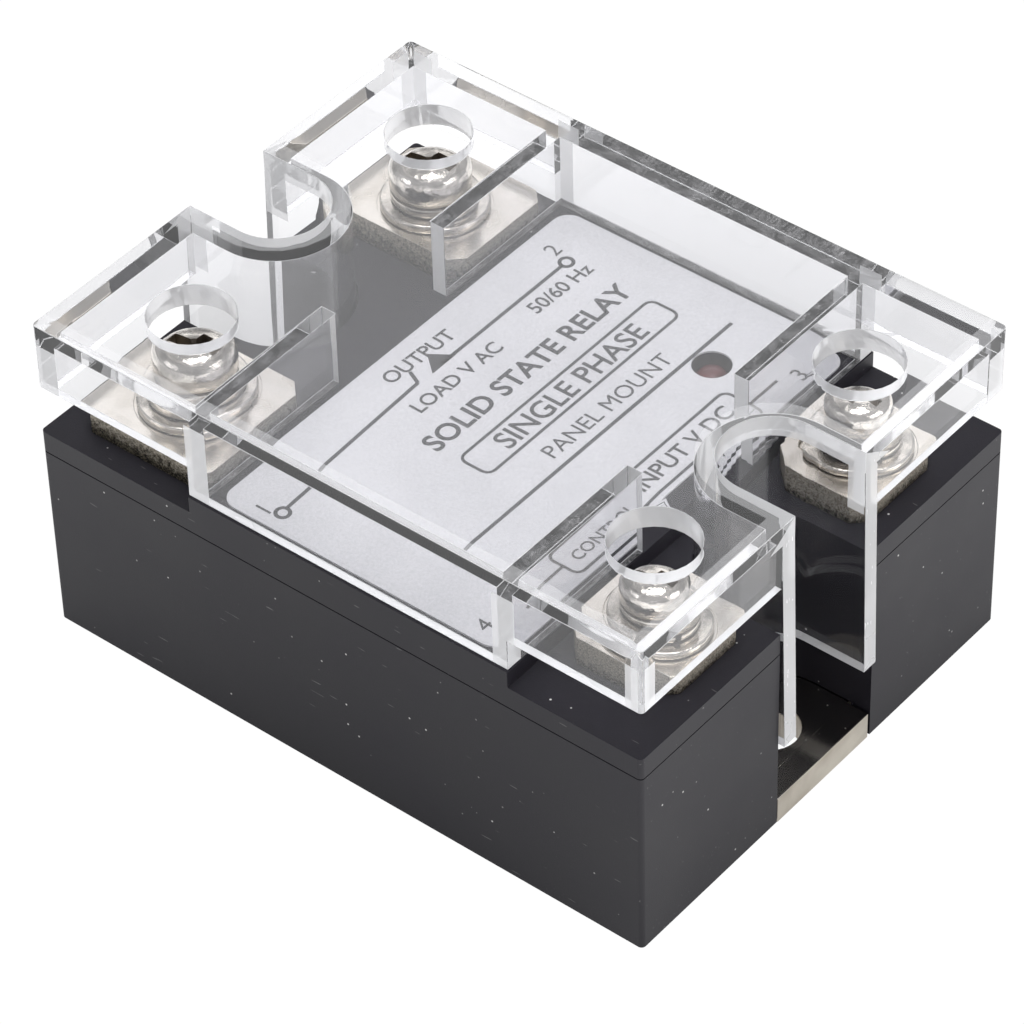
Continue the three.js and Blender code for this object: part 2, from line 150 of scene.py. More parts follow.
class Surface:
    """A Principled material whose texture nodes are added as they are asked for."""

    def __init__(self, name, base, roughness, metallic=0.0, specular=0.5, **more):
        self.material = bpy.data.materials.new(name)
        self.material.use_nodes = True
        self.nodes = self.material.node_tree.nodes
        self.links = self.material.node_tree.links
        self.bsdf = self.nodes["Principled BSDF"]
        self.place = self.nodes.new("ShaderNodeTexCoord").outputs["Object"]
        self.normal = None
        self.value("Base Color", rgba(base))
        self.value("Roughness", roughness)
        self.value("Metallic", metallic)
        self.value("Specular IOR Level", specular)
        for socket, value in more.items():
            self.value(socket.replace("_", " "), value)

    def value(self, socket, value):
        self.bsdf.inputs[socket].default_value = value

    def node(self, kind, inputs, **settings):
        """A new node; an input is linked if it is another node's socket, and set if it is a value."""
        node = self.nodes.new(kind)
        for key, value in settings.items():
            setattr(node, key, value)
        for key, value in inputs.items():
            if isinstance(value, bpy.types.NodeSocket):
                self.links.new(value, node.inputs[key])
            elif value is not None:
                node.inputs[key].default_value = value
        return node

    def stretched(self, scale, turn=(0, 0, 0)):
        """The object's coordinates, scaled unevenly and turned, for grain that has a direction."""
        node = self.node("ShaderNodeMapping", {"Vector": self.place, "Scale": scale, "Rotation": turn})
        return node.outputs["Vector"]

    def noise(self, scale, detail=3.0, roughness=0.5, place=None):
        inputs = {"Vector": place or self.place, "Scale": scale, "Detail": detail, "Roughness": roughness}
        return self.node("ShaderNodeTexNoise", inputs).outputs[0]

    def cells(self, scale):
        inputs = {"Vector": self.place, "Scale": scale}
        return self.node("ShaderNodeTexVoronoi", inputs).outputs["Distance"]

    def ramp(self, factor, *stops):
        node = self.node("ShaderNodeValToRGB", {0: factor})
        elements = node.color_ramp.elements
        while len(elements) < len(stops):
            elements.new(0.5)
        for element, (position, colour) in zip(elements, stops):
            element.position = position
            element.color = rgba(colour)
        return node.outputs["Color"]

    def remap(self, factor, low, high, to_low, to_high):
        """Maps the range from low to high onto another, and holds it at both ends."""
        inputs = {0: factor, 1: low, 2: high, 3: to_low, 4: to_high}
        return self.node("ShaderNodeMapRange", inputs).outputs[0]

    def maths(self, operation, first, second):
        return self.node("ShaderNodeMath", {0: first, 1: second}, operation=operation).outputs[0]

    def mixed(self, factor, first, second):
        node = self.node("ShaderNodeMix", {0: factor}, data_type="RGBA")
        for index, value in ((6, first), (7, second)):
            if isinstance(value, bpy.types.NodeSocket):
                self.links.new(value, node.inputs[index])
            else:
                node.inputs[index].default_value = rgba(value)
        return node.outputs[2]

    def facing_up(self):
        geometry = self.nodes.new("ShaderNodeNewGeometry")
        split = self.node("ShaderNodeSeparateXYZ", {0: geometry.outputs["True Normal"]})
        return split.outputs["Z"]

    def along(self, axis):
        return self.node("ShaderNodeSeparateXYZ", {0: self.place}).outputs[axis]

    def colour(self, socket):
        self.links.new(socket, self.bsdf.inputs["Base Color"])

    def rough(self, socket):
        self.links.new(socket, self.bsdf.inputs["Roughness"])

    def bump(self, height, distance, strength):
        """Adds a bump on top of any bump that the material already has."""
        inputs = {"Height": height, "Distance": distance, "Strength": strength, "Normal": self.normal}
        self.normal = self.node("ShaderNodeBump", inputs).outputs["Normal"]
        self.links.new(self.normal, self.bsdf.inputs["Normal"])

    def show(self, rays, shader, otherwise):
        """Gives one kind of ray a shader of its own, and every other ray the usual one."""
        kind = self.nodes.new("ShaderNodeLightPath").outputs[rays]
        inputs = {0: kind, 1: otherwise.outputs[0], 2: shader.outputs[0]}
        mix = self.node("ShaderNodeMixShader", inputs)
        self.links.new(mix.outputs[0], self.nodes["Material Output"].inputs["Surface"])


def black_moulding(name, specular):
    """Fine matt black with sparse white dust and a few hairline scratches."""
    paint = Surface(name, base=(0.011, 0.0098, 0.0145), roughness=0.5, specular=specular)
    grain = paint.noise(scale=9000, detail=2)
    broad = paint.noise(scale=120, detail=3)
    specks = paint.remap(paint.cells(scale=850), 0.05, 0.09, 1.0, 0.0)
    patches = paint.remap(paint.noise(scale=420, detail=2), 0.54, 0.6, 0.0, 1.0)
    scratched = paint.stretched((420, 4200, 4200), (0.3, 0.6, 0.9))
    scratches = paint.noise(scale=1.0, detail=1, place=scratched)
    lines = paint.remap(scratches, 0.765, 0.78, 0.0, 0.16)
    dust = paint.maths("MAXIMUM", paint.maths("MULTIPLY", specks, patches), lines)
    plain = paint.ramp(broad, (0.3, (0.0095, 0.0084, 0.0125)), (0.7, (0.0125, 0.0112, 0.0165)))
    paint.colour(paint.mixed(dust, plain, (0.6, 0.59, 0.58)))
    top = paint.remap(paint.facing_up(), 0.5, 0.95, 0.0, 0.24)
    paint.rough(paint.maths("ADD", paint.remap(broad, 0.25, 0.75, 0.46, 0.56), top))
    paint.bump(grain, distance=0.00003, strength=0.4)
    return paint.material


def clear_moulding(name, milk, roughness, tint=0.91):
    """Clear acrylic. The milk is the share of light that it scatters like a white solid."""
    paint = Surface(
        name, base=(tint, tint, 1.015 * tint), roughness=roughness,
        Transmission_Weight=1.0 - milk, IOR=1.49,
    )
    scratched = paint.stretched((90, 5200, 700), (0.2, 0.3, 0.7))
    scratches = paint.noise(scale=1.0, detail=2, place=scratched)
    lines = paint.remap(scratches, 0.7, 0.78, 0.0, 1.0)
    smears = paint.remap(paint.noise(scale=160, detail=3), 0.45, 0.75, roughness, roughness + 0.04)
    paint.rough(paint.maths("ADD", paint.maths("MULTIPLY", lines, 0.12), smears))
    paint.bump(paint.noise(scale=70, detail=1), distance=0.00006, strength=0.35)

    # Shadow rays go straight through, so what lies under the cover is lit as through clear plastic.
    see_through = paint.node("ShaderNodeBsdfTransparent", {"Color": (0.93, 0.935, 0.94, 1.0)})
    paint.show("Is Shadow Ray", see_through, otherwise=paint.bsdf)
    return paint.material


def resting_foot():
    """The sawn underside of a clear wall, painted opaque: dark grey speckled with near-black, as painted
    shade for the black housing behind it.
    """
    paint = Surface("clear_moulding_foot_painted_shade", base=(0.2, 0.2, 0.205), roughness=0.6, specular=0.3)
    speckle = paint.noise(scale=5200, detail=5, roughness=0.75)
    broad = paint.noise(scale=700, detail=2)
    tone = paint.maths("ADD", paint.maths("MULTIPLY", speckle, 0.7), paint.maths("MULTIPLY", broad, 0.3))
    # Painted shade: opaque dark grey with near-black speckle.
    paint.colour(paint.ramp(tone, (0.46, (0.008, 0.008, 0.009)), (0.66, (0.3, 0.295, 0.3))))
    paint.bump(speckle, distance=0.00005, strength=0.5)
    return paint.material


def bright_nickel(name, base=(0.80, 0.76, 0.70), roughness=(0.09, 0.24)):
    """Worn bright nickel: fine scratches both ways, cloudy patches and small dark pits."""
    paint = Surface(name, base=base, roughness=roughness[0], metallic=1.0)
    cloud = paint.noise(scale=450, detail=4)
    dents = paint.noise(scale=900, detail=3)
    first = paint.noise(scale=1.0, detail=2, place=paint.stretched((500, 9000, 900), (0, 0, 0.5)))
    second = paint.noise(scale=1.0, detail=2, place=paint.stretched((8000, 400, 900), (0, 0, 0.3)))
    pits = paint.remap(paint.cells(scale=2600), 0.03, 0.09, 0.0, 1.0)
    darker = tuple(0.4 * channel for channel in base)
    plain = paint.ramp(cloud, (0.32, darker), (0.56, base))
    paint.colour(paint.mixed(pits, (0.22, 0.19, 0.16), plain))
    paint.rough(paint.remap(cloud, 0.3, 0.7, roughness[1], roughness[0]))
    paint.bump(dents, distance=0.00016, strength=0.7)
    paint.bump(first, distance=0.00002, strength=0.35)
    paint.bump(second, distance=0.00002, strength=0.3)
    return paint.material


def pad_nickel(name, dark_below, bright_above):
    """Polished on top; the sides carry painted shade, dark low down and turning bright between two
    heights.
    """
    paint = Surface(name, base=(0.8, 0.75, 0.68), roughness=0.2, metallic=1.0)
    polished = paint.remap(paint.facing_up(), 0.1, 0.35, 0.0, 1.0)
    cloud = paint.noise(scale=350, detail=4)
    shine = paint.ramp(cloud, (0.3, (0.66, 0.61, 0.54)), (0.65, (0.82, 0.775, 0.71)))
    speckle = paint.noise(scale=7000, detail=4, roughness=0.75)
    ragged = paint.noise(scale=2600, detail=4, roughness=0.65)
    # Painted shade: the sides are darker towards the bottom.
    height = paint.remap(paint.along("Z"), dark_below, bright_above, 0.0, 1.0)
    edge = paint.maths("ADD", height, paint.remap(ragged, 0.3, 0.7, -0.3, 0.3))
    shade_to_bright = paint.remap(edge, 0.35, 0.85, 0.0, 1.0)
    dark = paint.ramp(speckle, (0.45, (0.012, 0.011, 0.01)), (0.68, (0.42, 0.37, 0.28)))
    bright = paint.ramp(speckle, (0.35, (0.16, 0.135, 0.10)), (0.6, (0.74, 0.68, 0.58)))
    side = paint.mixed(shade_to_bright, dark, bright)
    paint.colour(paint.mixed(polished, side, shine))
    plain = paint.maths("SUBTRACT", 1.0, polished)
    rough_side = paint.maths("MULTIPLY", paint.remap(speckle, 0.3, 0.7, 0.55, 0.3), plain)
    rough_top = paint.maths("MULTIPLY", paint.remap(cloud, 0.3, 0.7, 0.3, 0.17), polished)
    paint.rough(paint.maths("ADD", rough_side, rough_top))
    paint.bump(paint.maths("MULTIPLY", speckle, plain), distance=0.00018, strength=0.8)
    scratch = paint.noise(scale=1.0, detail=2, place=paint.stretched((300, 7000, 600), (0, 0, 0.9)))
    paint.bump(scratch, distance=0.00001, strength=0.35)
    return paint.material


def plate_nickel():
    """A smooth top with fine dirt, and edges brushed along the plate."""
    paint = Surface("plate_nickel", base=(0.62, 0.58, 0.53), roughness=0.14, metallic=1.0)
    brushed = paint.noise(scale=1.0, detail=3, place=paint.stretched((9000, 250, 250)))
    up = paint.remap(paint.facing_up(), 0.3, 0.7, 0.0, 1.0)
    dirt = paint.remap(paint.cells(scale=1300), 0.05, 0.11, 1.0, 0.0)
    patches = paint.remap(paint.noise(scale=500, detail=3), 0.48, 0.62, 0.0, 1.0)
    specks = paint.maths("MULTIPLY", dirt, patches)
    top = paint.mixed(specks, (0.56, 0.53, 0.49), (0.9, 0.88, 0.84))
    side = paint.ramp(brushed, (0.35, (0.50, 0.45, 0.38)), (0.7, (0.72, 0.67, 0.58)))
    paint.colour(paint.mixed(up, side, top))
    dirt_roughness = paint.remap(specks, 0.0, 1.0, 0.13, 0.7)
    side_roughness = paint.remap(up, 0.0, 1.0, 0.16, 0.0)
    paint.rough(paint.maths("ADD", dirt_roughness, side_roughness))
    paint.bump(brushed, distance=0.00002, strength=0.3)
    return paint.material


def tinned_strip():
    """Dull tin with a soft mottle."""
    paint = Surface("tinned_strip", base=(0.72, 0.71, 0.68), roughness=0.36, metallic=1.0)
    cloud = paint.noise(scale=900, detail=4)
    paint.colour(paint.ramp(cloud, (0.3, (0.55, 0.54, 0.51)), (0.7, (0.76, 0.75, 0.72))))
    paint.rough(paint.remap(cloud, 0.3, 0.7, 0.45, 0.28))
    paint.bump(cloud, distance=0.00004, strength=0.4)
    return paint.material


def label_film():
    """Silver-grey film with a fine grain."""
    paint = Surface("label_film", base=(0.56, 0.555, 0.58), roughness=0.42, specular=0.4)
    grain = paint.noise(scale=5000, detail=3)
    broad = paint.noise(scale=90, detail=2)
    tone = paint.maths("ADD", paint.maths("MULTIPLY", grain, 0.6), paint.maths("MULTIPLY", broad, 0.4))
    paint.colour(paint.ramp(tone, (0.35, (0.42, 0.417, 0.435)), (0.65, (0.535, 0.53, 0.55))))
    paint.rough(paint.remap(grain, 0.3, 0.7, 0.36, 0.5))
    paint.bump(grain, distance=0.00001, strength=0.3)
    return paint.material


def print_ink():
    paint = Surface("print_ink", base=(0.03, 0.03, 0.034), roughness=0.5, specular=0.3)
    grain = paint.noise(scale=8000, detail=2)
    paint.colour(paint.ramp(grain, (0.3, (0.018, 0.018, 0.02)), (0.75, (0.045, 0.045, 0.05))))
    return paint.material


def circuit_laminate():
    """Green board whose glass weave shows faintly."""
    paint = Surface("circuit_laminate", base=(0.03, 0.12, 0.05), roughness=0.35)
    weave_x = paint.noise(scale=1.0, detail=1, place=paint.stretched((1800, 120, 120)))
    weave_y = paint.noise(scale=1.0, detail=1, place=paint.stretched((120, 1800, 120)))
    weave = paint.maths("ADD", weave_x, weave_y)
    paint.colour(paint.ramp(weave, (0.8, (0.015, 0.075, 0.03)), (1.0, (0.035, 0.14, 0.06))))
    paint.bump(weave, distance=0.00002, strength=0.4)
    return paint.material


def grained(name, low, high, roughness, scale, metallic=0.0):
    """A plain material with a grain: colour, roughness and bump all follow one noise."""
    paint = Surface(name, base=high, roughness=roughness, metallic=metallic)
    grain = paint.noise(scale=scale, detail=4)
    paint.colour(paint.ramp(grain, (0.3, low), (0.7, high)))
    paint.rough(paint.remap(grain, 0.3, 0.7, min(1.0, roughness + 0.12), roughness))
    paint.bump(grain, distance=0.00003, strength=0.5)
    return paint.material


def banded_resistor():
    """Beige lacquer with coloured code bands round the body."""
    paint = Surface("resistor_beige", base=(0.55, 0.42, 0.25), roughness=0.35)
    inputs = {"Vector": paint.place, "Scale": 170.0}
    wave = paint.node("ShaderNodeTexWave", inputs, wave_type="BANDS", bands_direction="X").outputs[1]
    bands = paint.ramp(wave, (0.80, (0, 0, 0)), (0.84, (1, 1, 1)))
    red = (0.30, 0.05, 0.02)
    orange = (0.45, 0.2, 0.02)
    black = (0.05, 0.04, 0.03)
    hue = paint.ramp(paint.noise(scale=330, detail=0), (0.42, red), (0.5, orange), (0.58, black))
    mottle = paint.noise(scale=1500)
    lacquer = paint.ramp(mottle, (0.3, (0.50, 0.38, 0.22)), (0.7, (0.60, 0.47, 0.30)))
    paint.colour(paint.mixed(bands, lacquer, hue))
    return paint.material


def red_lens():
    """Dark red, half clear."""
    paint = Surface(
        "red_lens", base=(0.12, 0.008, 0.012), roughness=0.08, Transmission_Weight=0.4, IOR=1.5,
    )
    cloud = paint.noise(scale=900, detail=3)
    paint.colour(paint.ramp(cloud, (0.3, (0.075, 0.006, 0.01)), (0.7, (0.16, 0.012, 0.017))))
    paint.rough(paint.remap(cloud, 0.3, 0.7, 0.12, 0.06))
    return paint.material


# -------------------- mesh helpers

def new_object(name, mesh):
    piece = bpy.data.objects.new(name, mesh)
    bpy.context.scene.collection.objects.link(piece)
    return piece


def smooth_by_angle(bm, degrees):
    """Shades every face smooth, with a crease along each edge at least this sharp."""
    limit = math.radians(degrees)
    for face in bm.faces:
        face.smooth = True
    for edge in bm.edges:
        edge.smooth = len(edge.link_faces) == 2 and edge.calc_face_angle(0.0) < limit


def piece_from(bm, name, body, material, stands_for=(), sharp=38, weighted=True):
    """Turns a bmesh into a named piece that rides on a body and stands for CAD nodes."""
    bmesh.ops.recalc_face_normals(bm, faces=bm.faces)
    smooth_by_angle(bm, sharp)
    mesh = bpy.data.meshes.new(name)
    bm.to_mesh(mesh)
    bm.free()
    mesh.materials.append(material)
    piece = new_object(name, mesh)
    if weighted:
        modifier = piece.modifiers.new("weighted_normals", "WEIGHTED_NORMAL")
        modifier.keep_sharp = True
    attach(piece, body)
    for node in stands_for:
        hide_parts(node)
    return piece


def welded_copy(node):
    """The mesh of a CAD node with its split corners joined and its flat faces made whole."""
    bm = bmesh.new()
    bm.from_mesh(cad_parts[node].data)
    bmesh.ops.remove_doubles(bm, verts=bm.verts, dist=2e-6)
    bmesh.ops.dissolve_limit(bm, angle_limit=math.radians(0.5), verts=bm.verts, edges=bm.edges)
    return bm


def bevel_edges(bm, width, segments=2, keep=lambda edge: True):
    """Rounds every corner edge, over 35 degrees, that also passes the keep test."""
    limit = math.radians(35)
    sharp = [
        edge for edge in bm.edges
        if len(edge.link_faces) == 2 and edge.calc_face_angle(0.0) > limit and keep(edge)
    ]
    bmesh.ops.bevel(bm, geom=sharp, offset=width, segments=segments, profile=0.5,
                    affect="EDGES", clamp_overlap=True)


def ring_of(bm, centre, radius, z, sides):
    """One ring of vertices; radius is a number, or a function of the angle."""
    verts = []
    for step in range(sides):
        angle = 2 * math.pi * step / sides
        reach = radius(angle) if callable(radius) else radius
        place = (centre[0] + reach * math.cos(angle), centre[1] + reach * math.sin(angle), z)
        verts.append(bm.verts.new(place))
    return verts


def skin_between(bm, lower, upper):
    """Joins two rings of as many vertices with a band of faces."""
    sides = len(lower)
    for step in range(sides):
        after = (step + 1) % sides
        bm.faces.new((lower[step], lower[after], upper[after], upper[step]))


def lathe(profile, centre, sides, closed=False):
    """A turned solid. An open profile is capped at both ends; a closed one makes a ring."""
    bm = bmesh.new()
    rings = [ring_of(bm, centre, radius, z, sides) for radius, z in profile]
    for lower, upper in zip(rings, rings[1:]):
        skin_between(bm, lower, upper)
    if closed:
        skin_between(bm, rings[-1], rings[0])
    else:
        bm.faces.new(list(reversed(rings[0])))
        bm.faces.new(rings[-1])
    return bm


def rounded_ring_profile(inner, outer, bottom, top, corner):
    """A ring's cross-section with rounded corners, as a closed list of (radius, height)."""
    profile = []
    corners = (
        (inner + corner, bottom + corner, 180),
        (outer - corner, bottom + corner, 270),
        (outer - corner, top - corner, 0),
        (inner + corner, top - corner, 90),
    )
    for radius, z, start in corners:
        for step in range(4):
            angle = math.radians(start + 30 * step)
            profile.append((radius + corner * math.cos(angle), z + corner * math.sin(angle)))
    return profile


def evaluated(piece):
    """A piece as its modifiers and settings make it."""
    bpy.context.view_layer.update()
    return piece.evaluated_get(bpy.context.evaluated_depsgraph_get())


def cut_out(piece_bm, cutter_bm):
    """The first solid less the second, by an exact boolean."""
    objects = []
    for name, bm in (("cut_body", piece_bm), ("cut_tool", cutter_bm)):
        bmesh.ops.recalc_face_normals(bm, faces=bm.faces)
        mesh = bpy.data.meshes.new(name)
        bm.to_mesh(mesh)
        bm.free()
        objects.append(new_object(name, mesh))
    body, tool = objects
    modifier = body.modifiers.new("cut", "BOOLEAN")
    modifier.operation = "DIFFERENCE"
    modifier.solver = "EXACT"
    modifier.object = tool
    result = bmesh.new()
    result.from_mesh(evaluated(body).to_mesh())
    for thing in objects:
        mesh = thing.data
        bpy.data.objects.remove(thing)
        bpy.data.meshes.remove(mesh)
    return result


def tapered_block(bm, centre, half_x, half_y, bottom, top, taper):
    """A block that narrows towards its bottom by taper on every side."""
    corners = []
    for z, less in ((bottom, taper), (top, 0.0)):
        for sx, sy in ((-1, -1), (1, -1), (1, 1), (-1, 1)):
            place = (centre[0] + sx * (half_x - less), centre[1] + sy * (half_y - less), z)
            corners.append(bm.verts.new(place))
    for face in ((3, 2, 1, 0), (4, 5, 6, 7), (0, 1, 5, 4), (1, 2, 6, 5), (2, 3, 7, 6), (3, 0, 4, 7)):
        bm.faces.new([corners[index] for index in face])


# -------------------- pieces

def centre_of(node):
    low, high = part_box(node)
    return (low + high) / 2


def repaint(piece, material, wanted):
    """Gives a piece one more material, on the faces that pass a test."""
    piece.data.materials.append(material)
    for face in piece.data.polygons:
        if wanted(face):
            face.material_index = len(piece.data.materials) - 1


def make_housing(material, deck_shade_material, notch_shade_material):
    """The moulding's outside top edges are rounder than the rest; upward faces and the notches take
    copies that reflect less, as painted shade.
    """
    low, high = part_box("housing")
    seam_low, seam_high = 17.5 * MM, 17.9 * MM
    seam_narrowing = 0.55
    rim_radius = 0.3 * MM
    edge_radius = 0.1 * MM
    notch_half, notch_root, deck = 6.4 * MM, 16 * MM, 19.6 * MM
    end_margin = 0.2 * MM

    def outside_top(edge):
        first, last = (vert.co for vert in edge.verts)
        middle = (first + last) / 2
        to_side = min(middle.x - low.x, high.x - middle.x, middle.y - low.y, high.y - middle.y)
        level = abs(first.z - last.z) < 0.01 * MM
        return to_side < 0.02 * MM and level and middle.z > seam_high

    def clear_of_seam(edge):
        height = (edge.verts[0].co.z + edge.verts[1].co.z) / 2
        return not seam_low < height < seam_high

    bm = welded_copy("housing")
    seam_middle = (seam_low + seam_high) / 2
    for vert in bm.verts:
        if seam_low < vert.co.z < seam_high:
            vert.co.z = seam_middle + seam_narrowing * (vert.co.z - seam_middle)
    bevel_edges(bm, rim_radius, segments=3, keep=outside_top)
    bevel_edges(bm, edge_radius, keep=clear_of_seam)
    piece = piece_from(bm, "moulded_housing", "relay_body", material, ["housing"])

    def in_notch(face):
        x, y, z = face.center
        return abs(y) < notch_half and notch_root < abs(x) < high.x - end_margin and z < deck

    # Painted shade: a less reflective copy on upward faces, and the least reflective one in the notches.
    repaint(piece, deck_shade_material, lambda face: face.normal.z > 0.95)
    repaint(piece, notch_shade_material, in_notch)


def make_rounded(node, name, width, material):
    """A CAD node of the relay's body in its own shape, with its edges rounded."""
    bm = welded_copy(node)
    bevel_edges(bm, width)
    piece_from(bm, name, "relay_body", material, [node])


def slice_faces(bm, faces, cuts):
    """Cuts flat faces along lines, each a (point, direction across it) pair; returns the pieces."""
    pieces = bmesh.ops.triangulate(bm, faces=faces)["faces"]
    for point, across in cuts:
        parts = set(pieces)
        for face in pieces:
            parts.update(face.edges)
            parts.update(face.verts)
        result = bmesh.ops.bisect_plane(bm, geom=list(parts), plane_co=point, plane_no=across)
        pieces = [part for part in result["geom"] if isinstance(part, bmesh.types.BMFace)]
    return pieces


def lines_across(axis, places):
    """Cutting lines square to an axis, at these places along it."""
    return [(axis * place, axis) for place in places]


class CoverZones:
    """Where the clear cover's walls, posts and liners stand, and the finish that each face takes, painted
    light and painted shade among them.
    """

    # Finishes: clear; cloudy cut walls, with painted light on faces before the posts; milky wall ends,
    # with painted light on rounded edges and on feet under the rims facing the camera; painted light on
    # the tops of those rims and over the liners; feet in painted shade.
    CLEAR, CLOUDY, MILKY, HAZY, FOOT = range(5)

    # How much of a face's normal points along an axis: upright is below this, the others above.
    UPRIGHT = 0.2
    DOWNWARD = 0.7
    LEVEL = 0.98
    SQUARE_ON = 0.99

    def __init__(self, bm, rounding):
        self.bm = bm
        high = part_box("clear_cover")[1]
        self.holes = [centre_of(f"{terminal}_screw").xy for terminal in TERMINALS]
        self.hole_reach = 4 * MM
        self.near = 0.1 * MM
        self.half_length = 28.95 * MM
        self.half_width = high.y
        self.wall = 1.5 * MM

        # Heights: the top's underside, the skirts' bottom, and what each kind of wall ends below.
        self.under = high.z - 2.0 * MM
        self.skirt_bottom = 24.1 * MM
        self.walls_end = 25 * MM
        self.standing_end = 22 * MM
        self.liner_end = 12 * MM

        # The liners round the notches, and the partitions beside the label.
        self.notch_x = 23.8 * MM
        self.liner_half = 5.75 * MM
        self.liner_inside = 4.25 * MM
        self.leg_x = 28.5 * MM
        self.partitions = ((-13.85 * MM, -12.5 * MM), (15.4 * MM, 16.75 * MM))
        self.partition_end = (6.2 * MM, 6.6 * MM)

        # Posts are where one wall is seen end on through another; the faces before them are made cloudy
        # as painted light.
        half_length, half_width, wall = self.half_length, self.half_width, self.wall
        depth = 0.7 * MM
        self.posts_x = [(-half_length, wall + depth - half_length), (half_length - wall, half_length)]
        self.posts_x += [(first, last + depth) for first, last in self.partitions]
        self.posts_y = [(-half_width, wall - half_width), (half_width - wall - depth, half_width)]

        # The directions in which each end's liner faces outwards, round its back and on its sides.
        angles = [math.radians(90 + 18 * step) for step in range(11)]
        self.outward = {
            end: [Vector((end * math.cos(angle), math.sin(angle), 0)) for angle in angles]
            for end in (-1, 1)
        }
        self.top = self.cut_faces(self.under + rounding)

    def panels(self, test):
        """The faces whose normal and middle pass a test."""
        self.bm.normal_update()
        return [face for face in self.bm.faces if test(face.normal, face.calc_center_median())]

    def is_upright(self, normal, middle):
        return abs(normal.z) < self.UPRIGHT

    def on_long_side(self, normal, middle):
        return abs(normal.y) > self.SQUARE_ON and abs(middle.y) > self.half_width - self.near

    def on_short_side(self, normal, middle):
        outermost = abs(middle.x) > self.half_length - self.near
        return abs(normal.x) > self.SQUARE_ON and outermost and abs(middle.y) > self.liner_half

    def on_wall_end(self, normal, middle):
        outermost = (self.partitions[0][0], self.partitions[1][1])
        return abs(normal.x) > self.SQUARE_ON and min(abs(middle.x - x) for x in outermost) < self.near

    def on_liner_flat(self, normal, middle):
        return abs(normal.y) > self.SQUARE_ON and abs(abs(middle.y) - self.liner_inside) < self.near

    def is_foot(self, normal, middle):
        return normal.z < -self.SQUARE_ON and self.liner_end < middle.z < self.walls_end

    def is_top(self, normal, middle):
        return normal.z > self.SQUARE_ON and middle.z > self.under

    def cut_faces(self, ledge):
        """Cuts faces where the plastic behind them changes, so each part can take its own finish, painted
        light and painted shade among them.
        """
        bm = self.bm
        inner_length = self.half_length - self.wall
        inner_width = self.half_width - self.wall
        inner_x = lines_across(ALONG_X, (-inner_length, inner_length))
        inner_y = lines_across(ALONG_Y, (-inner_width, inner_width))
        partition_lines = lines_across(ALONG_X, [x for pair in self.partitions for x in pair])
        post_lines_x = lines_across(ALONG_X, [x for pair in self.posts_x for x in pair])
        post_lines_y = lines_across(ALONG_Y, [y for pair in self.posts_y for y in pair])
        skirt_line = lines_across(ALONG_Z, [self.skirt_bottom])
        round_liners = [
            (ALONG_X * end * self.notch_x + across * self.liner_half, across)
            for end, directions in self.outward.items()
            for across in directions
        ]

        slice_faces(bm, self.panels(self.is_upright), lines_across(ALONG_Z, [ledge]))
        slice_faces(bm, self.panels(self.is_foot), inner_x + inner_y + partition_lines)
        slice_faces(bm, self.panels(self.on_long_side), post_lines_x)
        slice_faces(bm, self.panels(self.on_short_side), post_lines_y)
        slice_faces(bm, self.panels(self.on_wall_end), inner_y)
        slice_faces(bm, self.panels(self.on_liner_flat), post_lines_x + skirt_line)
        top = slice_faces(bm, self.panels(self.is_top), round_liners + inner_x + inner_y)
        bm.normal_update()
        return set(top)

    def over_liner(self, place):
        for end, directions in self.outward.items():
            from_axis = place - ALONG_X * end * self.notch_x
            if max(from_axis.dot(across) for across in directions) < self.liner_half:
                return True
        return False

    def before_post(self, normal, middle):
        if middle.z > self.under:
            return False
        above_skirt_bottom = self.on_liner_flat(normal, middle) and middle.z > self.skirt_bottom
        if self.on_long_side(normal, middle) or above_skirt_bottom:
            return any(first < middle.x < last for first, last in self.posts_x)
        if self.on_short_side(normal, middle):
            return any(first < middle.y < last for first, last in self.posts_y)
        return self.on_wall_end(normal, middle) and abs(middle.y) > self.half_width - self.wall

    def finish_of(self, face):
        normal = face.normal
        middle = face.calc_center_median()
        # The rims on the camera's side take painted light: milky feet and a lit top face.
        rim_facing_camera = middle.x > self.half_length - self.wall or middle.y < self.wall - self.half_width
        within_notch = abs(middle.y) < self.liner_half

        # Milky feet under the rims facing the camera and milky rounded edges are painted light; the wall
        # ends and the liners' low feet are milky as well.
        under_wall = normal.z < -self.DOWNWARD and middle.z < self.walls_end
        bright_foot = under_wall and (middle.z < self.liner_end or rim_facing_camera)
        rounded = self.UPRIGHT < abs(normal.z) < self.LEVEL
        liner_leg = abs(normal.x) > self.SQUARE_ON and abs(middle.x) > self.leg_x and within_notch
        at_partition_end = self.partition_end[0] < abs(middle.y) < self.partition_end[1]
        partition_end = abs(normal.y) > self.SQUARE_ON and at_partition_end
        if bright_foot or rounded or liner_leg or partition_end:
            return self.MILKY

        # Cloudy on the walls cut through the top, and as painted light on faces before the posts.
        by_hole = min((middle.xy - hole).length for hole in self.holes) < self.hole_reach
        through_top = self.is_upright(normal, middle) and middle.z > self.under
        if (through_top and (by_hole or within_notch)) or self.before_post(normal, middle):
            return self.CLOUDY
        # Painted light on the top over the rims facing the camera and over the liners.
        if face in self.top and (rim_facing_camera or self.over_liner(middle)):
            return self.HAZY
        # Painted shade: the remaining feet are opaque and dark.
        if under_wall and middle.z < self.standing_end:
            return self.FOOT
        return self.CLEAR


def make_cover(clear, cloudy, milky, rim_painted_light, foot):
    """Clear, with cloudy cut walls and milky wall ends; painted light on the rounded edges, before the
    posts and on the rims facing the camera; rough feet in painted shade.
    """
    rounding = 0.14 * MM
    bm = welded_copy("clear_cover")
    bevel_edges(bm, rounding)
    zones = CoverZones(bm, rounding)
    for face in bm.faces:
        face.material_index = zones.finish_of(face)
    piece = piece_from(bm, "moulded_clear_cover", "cover", clear, ["clear_cover"])
    for material in (cloudy, milky, rim_painted_light, foot):
        piece.data.materials.append(material)


